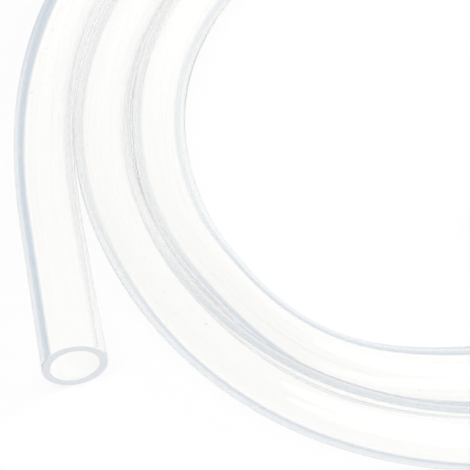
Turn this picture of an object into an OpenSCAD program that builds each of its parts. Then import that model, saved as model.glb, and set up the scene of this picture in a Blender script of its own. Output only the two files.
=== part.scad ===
// A loose coil of clear silicone tubing, lying flat in one layer.
// It is one length of tube with both ends cut square. From its outer end,
// at the front left, it runs clockwise as seen from above and winds
// inwards in quarter turns. Each arc meets the next with the same tangent,
// and opposite quarters differ by half the spacing of the turns, so that
// neighbouring turns lie side by side all the way round.
// Millimetres, with +Y towards the back and the floor at Z = 0.

/* [Tube] */

// Bore of the tube
tube_bore = 9.5; // [4:0.1:10.5]
// Wall of the tube
tube_wall = 1.6; // [0.8:0.1:2.5]

/* [Coil] */

// Air between neighbouring turns
turn_gap = 0.2; // [0.2:0.1:1]
// Centreline radius of the outer turn at the back left
wide_r = 106; // [100:1:120]
// Centreline radius of the outer turn at the back right
narrow_r = 87; // [84:1:105]
// Quarter turns from the outer end to the inner end
quarters = 10; // [5:1:12]

/* [Outer end] */

// Length of straight tube up to the outer cut
outer_straight = 37; // [15:1:60]
// Centreline radius of the slight bend from there into the coil
outer_bend_r = 165; // [140:1:300]
// How far that bend turns, in degrees
outer_bend_angle = 9; // [5:1:20]

/* [Inner end] */

// Centreline radius of the quarter bend that leaves the coil inside
inner_bend_r = 48; // [35:1:50]
// Length of straight tube up to the inner cut
inner_straight = 25; // [15:1:30]

/* [Hidden] */

$fn = 96;
tube_od = tube_bore + 2 * tube_wall;
tube_r = tube_od / 2;
pitch = tube_od + turn_gap;

// Quarter k starts with the heading 90 - 90 k degrees, 90 being +Y
function heading(k) = 90 - 90 * k;
function unit(a) = [round(cos(a)), round(sin(a))];

// Centreline radius of quarter k, counted inwards from the outer end
function quarter_r(k) =
    (k % 2 == 0 ? wide_r : narrow_r) - floor(k / 2) * pitch / 2;

// Centre of quarter k, from the centre of the first one
function centre(k) = k == 0 ? [0, 0]
    : centre(k - 1)
        + (quarter_r(k - 1) - quarter_r(k)) * unit(heading(k) + 90);

// The coil's box, whose middle is the origin
outer_bend_centre = (outer_bend_r - wide_r)
    * [cos(outer_bend_angle), -sin(outer_bend_angle)];
left_x = outer_bend_centre.x - outer_bend_r - tube_r;
right_x = centre(1).x + quarter_r(1) + tube_r;
back_y = centre(0).y + quarter_r(0) + tube_r;
front_y = centre(2).y - quarter_r(2) - tube_r;
middle = [(left_x + right_x) / 2, (back_y + front_y) / 2];

// Move in two steps, round thousandths and then the rest, so that the
// ends of the pieces still meet where a drawing is kept to six digits
module move_to(v) {
    coarse = [round(v.x * 1000), round(v.y * 1000)] / 1000;
    translate(coarse) translate(v - coarse) children();
}

// Section of the tube
module section() {
    difference() {
        circle(d = tube_od);
        circle(d = tube_bore);
    }
}

// Tube bent about the origin, anticlockwise from the angle a
module bent_tube(r, a, turn) {
    rotate_extrude(start = a, angle = turn) translate([r, 0]) section();
}

// Straight tube from the origin along -Y
module straight_tube(length) {
    rotate([90, 0, 0]) linear_extrude(length) section();
}

// The outer end comes up from the cut and bends into the first quarter
module outer_end() {
    move_to(outer_bend_centre) {
        bent_tube(outer_bend_r, 180 - outer_bend_angle, outer_bend_angle);
        translate([-outer_bend_r, 0]) straight_tube(outer_straight);
    }
    bent_tube(wide_r, 90, 90 - outer_bend_angle);
}

// The inner end turns off the coil and runs straight to the cut
module inner_end() {
    a = heading(quarters);
    r = inner_bend_r;
    translate(centre(quarters) + (quarter_r(quarters) - r) * unit(a + 90)) {
        bent_tube(r, a % 360, 90);
        translate(r * unit(a)) rotate(a % 360) straight_tube(inner_straight);
    }
}

module tubing() {
    color("whitesmoke") move_to(-middle) translate([0, 0, tube_r]) {
        outer_end();
        for (k = [1 : quarters - 1])
            translate(centre(k)) bent_tube(quarter_r(k), heading(k) % 360, 90);
        inner_end();
    }
}

tubing();
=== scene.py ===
import math

import bmesh
import bpy
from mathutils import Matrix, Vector


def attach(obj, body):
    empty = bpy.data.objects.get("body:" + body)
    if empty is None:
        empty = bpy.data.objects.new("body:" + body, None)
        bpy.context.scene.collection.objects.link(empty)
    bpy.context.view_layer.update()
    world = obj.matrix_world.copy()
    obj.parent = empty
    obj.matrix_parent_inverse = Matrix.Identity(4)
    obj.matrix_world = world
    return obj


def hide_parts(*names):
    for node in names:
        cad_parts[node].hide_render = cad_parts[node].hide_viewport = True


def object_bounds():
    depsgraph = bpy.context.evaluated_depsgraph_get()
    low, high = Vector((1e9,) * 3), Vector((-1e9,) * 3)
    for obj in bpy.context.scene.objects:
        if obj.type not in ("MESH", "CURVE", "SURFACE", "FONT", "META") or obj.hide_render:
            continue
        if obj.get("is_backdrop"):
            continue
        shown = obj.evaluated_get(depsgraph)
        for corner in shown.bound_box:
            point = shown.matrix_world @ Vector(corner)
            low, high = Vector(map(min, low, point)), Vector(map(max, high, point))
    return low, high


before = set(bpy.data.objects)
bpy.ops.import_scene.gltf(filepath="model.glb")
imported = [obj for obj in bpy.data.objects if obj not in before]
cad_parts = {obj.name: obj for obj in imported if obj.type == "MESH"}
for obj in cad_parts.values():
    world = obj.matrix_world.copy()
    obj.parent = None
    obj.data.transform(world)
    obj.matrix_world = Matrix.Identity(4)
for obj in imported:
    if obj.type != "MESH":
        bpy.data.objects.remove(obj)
cad_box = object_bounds()

# Camera
# A long lens looks down at the outer end and the front left of the coil,
# square to the floor's far edge, so that the picture has no roll.
view_elevation = math.radians(51.7)
view_heading = math.radians(77.6)
view_distance = 0.317
view_point = Vector((-0.0605, -0.0346, 0.00635))
toward_eye = Vector(
    (
        -math.cos(view_heading) * math.cos(view_elevation),
        -math.sin(view_heading) * math.cos(view_elevation),
        math.sin(view_elevation),
    )
)
camera = bpy.data.objects.new("Camera", bpy.data.cameras.new("Camera"))
camera.data.sensor_width = 36
camera.data.lens = 120.4
camera.data.clip_start = 0.02
camera.data.clip_end = 20
camera.location = view_point + toward_eye * view_distance
camera.rotation_mode = "QUATERNION"
camera.rotation_quaternion = (-toward_eye).to_track_quat("-Z", "Y")
bpy.context.scene.collection.objects.link(camera)
bpy.context.scene.camera = camera

# Tubing
# One length of extruded silicone tube, soft, clear and slightly hazy, cut
# square with a blade at both ends. It lies on the floor in a loose coil of
# about two and three quarter turns, held by nothing but its own set.
tube_od, tube_bore = 0.0127, 0.0095
turn_gap = 0.0002
wide_r, narrow_r = 0.106, 0.087
quarters = 10
outer_cut = Vector((-0.0968632, -0.0589546))
outer_straight = 0.037
outer_bend_r, outer_bend_angle = 0.165, math.radians(9)
inner_bend_r, inner_straight = 0.048, 0.025


def quarter_r(k):
    """Centreline radius of quarter turn k, counted from the outer end."""
    return (narrow_r if k % 2 else wide_r) - k // 2 * (tube_od + turn_gap) / 2


# Straights and bends in turn, each with its length and how much it turns
right_angle = math.pi / 2
rest_of_quarter = right_angle - outer_bend_angle
stretches = [
    (outer_straight, 0),
    (outer_bend_r * outer_bend_angle, outer_bend_angle),
    (wide_r * rest_of_quarter, rest_of_quarter),
]
for k in range(1, quarters):
    stretches.append((quarter_r(k) * right_angle, right_angle))
stretches.append((inner_bend_r * right_angle, right_angle))
stretches.append((inner_straight, 0))
tube_length = sum(length for length, turn in stretches)


def drawn_line(s):
    """Place and heading of the drawn line, s metres from the outer cut."""
    at, heading = outer_cut.copy(), right_angle
    for length, turn in stretches:
        along = min(s, length)
        bend = turn * along / length
        chord = along
        if turn:
            chord = 2 * length / turn * math.sin(bend / 2)
        middle = heading - bend / 2
        at += chord * Vector((math.cos(middle), math.sin(middle)))
        heading -= bend
        s -= along
        if s <= 0:
            break
    return at, heading


def ease(x):
    """From 0 to 1 with no corner at either end."""
    x = min(max(x, 0), 1)
    return x * x * (3 - 2 * x)


def between(low, high, share):
    """From low to high as the share goes from 0 to 1."""
    return low + (high - low) * share


def humps(s, where):
    """Smooth humps summed, each given by its middle, height and half length."""
    total = 0
    for middle, height, half_length in where:
        total += height * ease(1 - abs(s - middle) / half_length)
    return total


# Where the turns have settled outside the drawn line, or inside it
settled = [
    (0.066, -0.0010, 0.075),
    (0.562, 0.0022, 0.060),
    (0.703, -0.0017, 0.088),
    (1.029, 0.0006, 0.038),
    (1.076, 0.0032, 0.033),
    (1.103, 0.0023, 0.055),
    (1.152, 0.0003, 0.030),
    (1.210, -0.0012, 0.070),
]
# The bends press the section oval, and the sharp one inside the most. It is
# round at the cuts, and gains less height than it loses width.
pressed = 0.036
sharp_bends = [
    (0.585, 0.04, 0.080),
    (1.087, 0.235, 0.047),
    (1.125, 0.08, 0.080),
]
round_to_oval = 0.05
taller_share, most_taller = 0.65, 0.023


def oval(s):
    """How much narrower than round the section is."""
    in_coil = ease((s - outer_straight) / round_to_oval)
    in_coil *= ease((tube_length - s) / round_to_oval)
    return pressed * in_coil + humps(s, sharp_bends)


worn_edge = 0.00012


def worn_back(s):
    """How far the blade's sharp edge is worn back at s along the tube."""
    from_cut = min(s, tube_length - s)
    if from_cut >= worn_edge:
        return 0
    return worn_edge - math.sqrt(worn_edge**2 - (worn_edge - from_cut) ** 2)


# Painted shade in the walls, from 0 to 1: how blue-grey they look where they show the
# shaded floor and the dim room around the coil. It is darkest on the coil's open sides,
# which are the outside of the first turn and the inside of the last, and where a turn lies
# across the view.
outside_open, outside_beside, outside_across = 1, 0.4, 0.9
inside_open, inside_beside, inside_across = 0.45, 0.15, 0.75
first_turn_to, last_turn_from, changeover = 0.3, 1, 0.1
least_slant, slant_range = 0.4, 0.4
# How far from the middle of the strand the painted shade starts. It grows wider along the
# outside of the first turn, and is a narrow line across the view.
painted_shade_from, wide_painted_shade_from, narrow_painted_shade_from = 0.2, 0.1, 0.33
widens_from, widens_over = 0.045, 0.05


def painted_wall_shade(s, around):
    """How much painted shade the wall has here, and where on the strand it starts."""
    slant = abs(math.sin(drawn_line(s)[1] - view_heading))
    across = ease((slant - least_slant) / slant_range)
    beside = ease((s - first_turn_to) / changeover)
    last = ease((s - last_turn_from) / changeover)
    beside_look = between(outside_beside, outside_across, across)
    outer = between(outside_open, beside_look, beside)
    inner = between(inside_beside, inside_open, last)
    inner = between(inner, inside_across, across)
    outside = ease(0.5 + math.sin(around))
    widened = ease((s - widens_from) / widens_over) * (1 - beside) * outside
    start = between(painted_shade_from, wide_painted_shade_from, widened)
    start = between(start, narrow_painted_shade_from, across * outside)
    return between(inner, outer, outside), start


sides, rings = 96, 480
by_cut = [0, worn_edge / 4, worn_edge, 3 * worn_edge]
between_cuts = tube_length - 2 * by_cut[-1]
places = list(by_cut)
places += [by_cut[-1] + between_cuts * i / rings for i in range(1, rings)]
places += [tube_length - s for s in reversed(by_cut)]


def ring(s, r):
    """Centre and corners of the ring of radius r at s along the tube."""
    at, heading = drawn_line(s)
    left = Vector((-math.sin(heading), math.cos(heading)))
    narrow = 1 - oval(s)
    tall = 1 + min(taller_share * oval(s), most_taller)
    centre = at + left * humps(s, settled)
    centre = Vector((centre.x, centre.y, tube_od / 2 * tall))
    corners = []
    for i in range(sides):
        around = 2 * math.pi * i / sides
        across = left * r * narrow * math.sin(around)
        up = -r * tall * math.cos(around)
        corners.append(centre + Vector((across.x, across.y, up)))
    return centre, corners


# The skin goes out along the tube and comes back as the bore, one closed wall
path, walls = [], []
for s in places:
    path.append(ring(s, tube_od / 2)[0])
    walls.append((s, ring(s, tube_od / 2 - worn_back(s))[1]))
for s in reversed(places):
    walls.append((s, ring(s, tube_bore / 2 + worn_back(s))[1]))

mesh = bmesh.new()
along_tube = mesh.loops.layers.uv.new("Along")
painted_shade_layer = mesh.verts.layers.float.new("Painted wall shade")
painted_shade_start_layer = mesh.verts.layers.float.new("Painted shade start")
tube_axis = mesh.verts.layers.float_vector.new("Axis")
made = [[mesh.verts.new(corner) for corner in corners] for s, corners in walls]
# Each corner keeps its painted shade and the place on the strand where that shade starts
for (s, _), corners in zip(walls, made):
    heading = drawn_line(s)[1]
    for i, corner in enumerate(corners):
        look = painted_wall_shade(s, 2 * math.pi * i / sides)
        corner[painted_shade_layer], corner[painted_shade_start_layer] = look
        corner[tube_axis] = (math.cos(heading), math.sin(heading), 0)

skin_slot, bore_slot, cut_slot = range(3)
for j in range(len(made)):
    following = (j + 1) % len(made)
    cut = j == len(places) - 1 or following == 0
    worn = worn_back(walls[j][0]) > 0 or worn_back(walls[following][0]) > 0
    smooth_slot = skin_slot if j < len(places) else bore_slot
    for i in range(sides):
        k = (i + 1) % sides
        face = mesh.faces.new(
            (made[j][i], made[following][i], made[following][k], made[j][k])
        )
        face.smooth = not cut
        face.material_index = cut_slot if worn else smooth_slot
        spots = ((i, j), (i, following), (i + 1, following), (i + 1, j))
        for corner, (turn, ring_number) in zip(face.loops, spots):
            around = turn / sides * math.pi * tube_od
            corner[along_tube].uv = (around, walls[ring_number][0])
bmesh.ops.recalc_face_normals(mesh, faces=mesh.faces)

tube_mesh = bpy.data.meshes.new("Silicone_tubing")
mesh.to_mesh(tube_mesh)
mesh.free()
tubing = bpy.data.objects.new("Silicone_tubing", tube_mesh)
bpy.context.scene.collection.objects.link(tubing)


def add_node(tree, kind, **settings):
    """A new node of this kind with these settings."""
    node = tree.nodes.new("ShaderNode" + kind)
    for name, value in settings.items():
        setattr(node, name, value)
    return node


def join(tree, value, socket):
    """Feed an output, or a plain value, into a socket."""
    if isinstance(value, bpy.types.NodeSocket):
        tree.links.new(value, socket)
    else:
        socket.default_value = value


def calculate(tree, operation, first, second=0):
    """A Math node's result."""
    node = add_node(tree, "Math", operation=operation)
    join(tree, first, node.inputs[0])
    join(tree, second, node.inputs[1])
    return node.outputs["Value"]


def dot_product(tree, first, second):
    """The dot product of two vectors."""
    node = add_node(tree, "VectorMath", operation="DOT_PRODUCT")
    join(tree, first, node.inputs[0])
    join(tree, second, node.inputs[1])
    return node.outputs["Value"]


def remap(tree, value, given, wanted):
    """The value moved from one range to another, eased at both ends."""
    node = add_node(tree, "MapRange", interpolation_type="SMOOTHSTEP")
    for number, socket in zip((value, *given, *wanted), node.inputs):
        join(tree, number, socket)
    return node.outputs["Result"]


def stretched_noise(tree, vector, scale, detail):
    """Noise whose grain is this many to the metre on each axis."""
    mapping = add_node(tree, "Mapping")
    join(tree, vector, mapping.inputs["Vector"])
    mapping.inputs["Scale"].default_value = scale
    noise = add_node(tree, "TexNoise")
    noise.inputs["Scale"].default_value = 1
    noise.inputs["Detail"].default_value = detail
    tree.links.new(mapping.outputs["Vector"], noise.inputs["Vector"])
    return noise.outputs["Fac"]


def tinted(tree, share, plain, full):
    """A colour between plain and full."""
    node = add_node(tree, "Mix", data_type="RGBA")
    join(tree, share, node.inputs[0])
    join(tree, plain, node.inputs[6])
    join(tree, full, node.inputs[7])
    return node.outputs[2]


# Cured silicone is cloudy in soft patches and holds a few fine specks
clouds_to_metre, specks_to_metre = 70, 420
share_without_speck = 0.9
cloudy = bpy.data.node_groups.new("Cloud and specks", "ShaderNodeTree")
for name in ("Cloud", "Specks"):
    cloudy.interface.new_socket(
        name, in_out="OUTPUT", socket_type="NodeSocketFloat"
    )
group_out = cloudy.nodes.new("NodeGroupOutput")
coordinates = add_node(cloudy, "TexCoord").outputs["Object"]
cloud = stretched_noise(cloudy, coordinates, (clouds_to_metre,) * 3, 3)
cloudy.links.new(cloud, group_out.inputs["Cloud"])
cells = add_node(cloudy, "TexVoronoi")
cells.inputs["Scale"].default_value = specks_to_metre
cloudy.links.new(coordinates, cells.inputs["Vector"])
pick = add_node(cloudy, "SeparateColor")
cloudy.links.new(cells.outputs["Color"], pick.inputs["Color"])
rare = calculate(
    cloudy, "GREATER_THAN", pick.outputs["Red"], share_without_speck
)
dot = remap(cloudy, cells.outputs["Distance"], (0.05, 0.16), (1, 0))
specks = calculate(cloudy, "MULTIPLY", dot, rare)
cloudy.links.new(specks, group_out.inputs["Specks"])

silicone_ior = 1.41


def edgewise_place(tree):
    """0 on the middle of the strand and 1 at its edge, however it slants."""
    geometry = add_node(tree, "NewGeometry").outputs
    along = add_node(tree, "Attribute", attribute_name="Axis").outputs["Vector"]
    lengthwise = dot_product(tree, geometry["Incoming"], along)
    squarely = dot_product(tree, geometry["Incoming"], geometry["Normal"])
    lengthwise = calculate(tree, "MULTIPLY", lengthwise, lengthwise)
    crosswise = calculate(tree, "SUBTRACT", 1, lengthwise)
    crosswise = calculate(tree, "POWER", crosswise, 0.5)
    squarely = calculate(tree, "DIVIDE", squarely, crosswise)
    return calculate(
        tree, "SUBTRACT", 1, calculate(tree, "ABSOLUTE", squarely)
    )


def new_silicone(name, clearness, most_rough):
    """Clear silicone, with its clouds in how smooth it is."""
    material = bpy.data.materials.new(name)
    material.use_nodes = True
    tree = material.node_tree
    shader = tree.nodes["Principled BSDF"]
    shader.inputs["IOR"].default_value = silicone_ior
    shader.inputs["Transmission Weight"].default_value = clearness
    grain = add_node(tree, "Group", node_tree=cloudy)
    cloud = grain.outputs["Cloud"]
    roughness = remap(tree, cloud, (0.35, 0.7), (0, most_rough))
    join(tree, roughness, shader.inputs["Roughness"])
    edgewise = edgewise_place(tree)
    # Lamps shine through it, a little less towards the strand's edges
    light_path = add_node(tree, "LightPath").outputs
    from_lamp = calculate(
        tree,
        "MAXIMUM",
        light_path["Is Shadow Ray"],
        light_path["Is Diffuse Ray"],
    )
    clear = add_node(tree, "BsdfTransparent")
    passed = remap(tree, edgewise, (0.15, 0.75), (1, 0.9))
    join(tree, passed, clear.inputs["Color"])
    mix = add_node(tree, "MixShader")
    tree.links.new(from_lamp, mix.inputs["Fac"])
    tree.links.new(shader.outputs["BSDF"], mix.inputs[1])
    tree.links.new(clear.outputs["BSDF"], mix.inputs[2])
    out = tree.nodes["Material Output"]
    tree.links.new(mix.outputs["Shader"], out.inputs["Surface"])
    tubing.data.materials.append(material)
    return tree, shader, grain.outputs["Specks"], edgewise


# The skin is faintly milky. It is ivory in the middle of the strand, with faint lines from
# the die, and painted shade makes it blue-grey where the wall is seen edge on.
ivory, blue_grey = (1, 0.998, 0.988, 1), (0.46, 0.545, 0.65, 1)
speck_grey = (0.8, 0.79, 0.77, 1)
tree, shader, specks, edgewise = new_silicone("Silicone skin", 0.88, 0.02)
painted_shade_share = add_node(tree, "Attribute", attribute_name="Painted wall shade").outputs["Fac"]
start = add_node(tree, "Attribute", attribute_name="Painted shade start").outputs["Fac"]
# Painted shade: blue-grey where the walls are seen edge on, with a paler painted rim at
# the very edge
past_start = calculate(tree, "SUBTRACT", edgewise, start)
wall = remap(tree, past_start, (0, 0.1), (0, 1))
rim = remap(tree, edgewise, (0.43, 0.54), (1, 0.5))
edge_on = calculate(tree, "MULTIPLY", wall, rim)
edge_on = calculate(tree, "MULTIPLY", edge_on, painted_shade_share)
colour = tinted(tree, edge_on, ivory, blue_grey)
uv = add_node(tree, "UVMap", uv_map="Along").outputs["UV"]
die_lines = stretched_noise(tree, uv, (1600, 5, 1), 2)
die_lines = remap(tree, die_lines, (0.55, 0.75), (0, 0.08))
colour = tinted(tree, die_lines, colour, blue_grey)
colour = tinted(tree, specks, colour, speck_grey)
join(tree, colour, shader.inputs["Base Color"])

# The bore is the same rubber, moulded smooth and clear by the pin
tree, shader, specks, _ = new_silicone("Silicone bore", 1, 0.01)
colour = tinted(tree, specks, ivory, speck_grey)
join(tree, colour, shader.inputs["Base Color"])

# The blade leaves the cut dull, with fine straight marks
pale_cut, shaded_cut = (0.88, 0.9, 0.93, 1), (0.8, 0.83, 0.88, 1)
mark_depth = 0.00003
blade_cut = bpy.data.materials.new("Blade cut")
blade_cut.use_nodes = True
tree = blade_cut.node_tree
shader = tree.nodes["Principled BSDF"]
shader.inputs["IOR"].default_value = silicone_ior
coordinates = add_node(tree, "TexCoord").outputs["Object"]
marks = stretched_noise(tree, coordinates, (300, 300, 7000), 2)
colour = tinted(tree, marks, pale_cut, shaded_cut)
join(tree, colour, shader.inputs["Base Color"])
grain = add_node(tree, "Group", node_tree=cloudy)
roughness = remap(tree, grain.outputs["Cloud"], (0.3, 0.7), (0.4, 0.6))
join(tree, roughness, shader.inputs["Roughness"])
bump = add_node(tree, "Bump")
bump.inputs["Strength"].default_value = 0.3
bump.inputs["Distance"].default_value = mark_depth
tree.links.new(marks, bump.inputs["Height"])
tree.links.new(bump.outputs["Normal"], shader.inputs["Normal"])
tubing.data.materials.append(blade_cut)

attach(tubing, "root")
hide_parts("tubing")

# Studio
# White paper on a table, under a wide soft light from the front and a
# second one from the right, in a white tent.
bpy.ops.object.select_all(action="DESELECT")
bpy.ops.mesh.primitive_plane_add(size=6, location=(0, 0, -0.0002))
floor = bpy.context.object
floor.name = "Floor"


def seen(tree):
    """1 for what the camera sees, itself, mirrored or through glass."""
    light_path = add_node(tree, "LightPath").outputs
    mirrored = calculate(
        tree, "ADD", light_path["Is Camera Ray"], light_path["Is Glossy Ray"]
    )
    return calculate(tree, "ADD", mirrored, light_path["Is Transmission Ray"])


paper = bpy.data.materials.new("White paper")
paper.use_nodes = True
tree = paper.node_tree
shader = tree.nodes["Principled BSDF"]
shader.inputs["Base Color"].default_value = (0.96, 0.96, 0.96, 1)
shader.inputs["Roughness"].default_value = 0.9
shader.inputs["Specular IOR Level"].default_value = 0
whiten = add_node(tree, "MixShader")
glow = add_node(tree, "Emission")
join(tree, remap(tree, seen(tree), (0, 1), (0, 0.5)), whiten.inputs["Fac"])
tree.links.new(shader.outputs["BSDF"], whiten.inputs[1])
tree.links.new(glow.outputs["Emission"], whiten.inputs[2])
out = tree.nodes["Material Output"]
tree.links.new(whiten.outputs["Shader"], out.inputs["Surface"])
floor.data.materials.append(paper)
floor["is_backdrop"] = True

world = bpy.data.worlds.new("White tent")
bpy.context.scene.world = world
world.use_nodes = True
tree = world.node_tree
background = tree.nodes["Background"]
background.inputs["Color"].default_value = (1, 1, 1, 1)
strength = remap(tree, seen(tree), (0, 1), (0.5, 1))
join(tree, strength, background.inputs["Strength"])


def add_soft_light(name, place, size, watts):
    """A round soft light aimed at the middle of the coil."""
    light = bpy.data.lights.new(name, "AREA")
    light.shape = "DISK"
    light.size = size
    light.energy = watts
    lamp = bpy.data.objects.new(name, light)
    lamp.location = place
    lamp.rotation_mode = "QUATERNION"
    lamp.rotation_quaternion = (-lamp.location).to_track_quat("-Z", "Y")
    bpy.context.scene.collection.objects.link(lamp)
    return lamp


add_soft_light("Front light", (-0.1, -0.4, 0.95), size=1, watts=3.5)
side_light = add_soft_light("Side light", (0.9, 0, 0.8), size=0.8, watts=8)
side_light.visible_glossy = False
side_light.visible_transmission = False

# Light passes through many walls where turns lie behind each other
light_bounces = 48
cycles = bpy.context.scene.cycles
cycles.max_bounces = light_bounces
cycles.transmission_bounces = light_bounces
cycles.transparent_max_bounces = light_bounces

bpy.context.scene.view_settings.view_transform = "Standard"

boxes = (cad_box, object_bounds())
boxes = [[list(corner) for corner in box] for box in boxes]
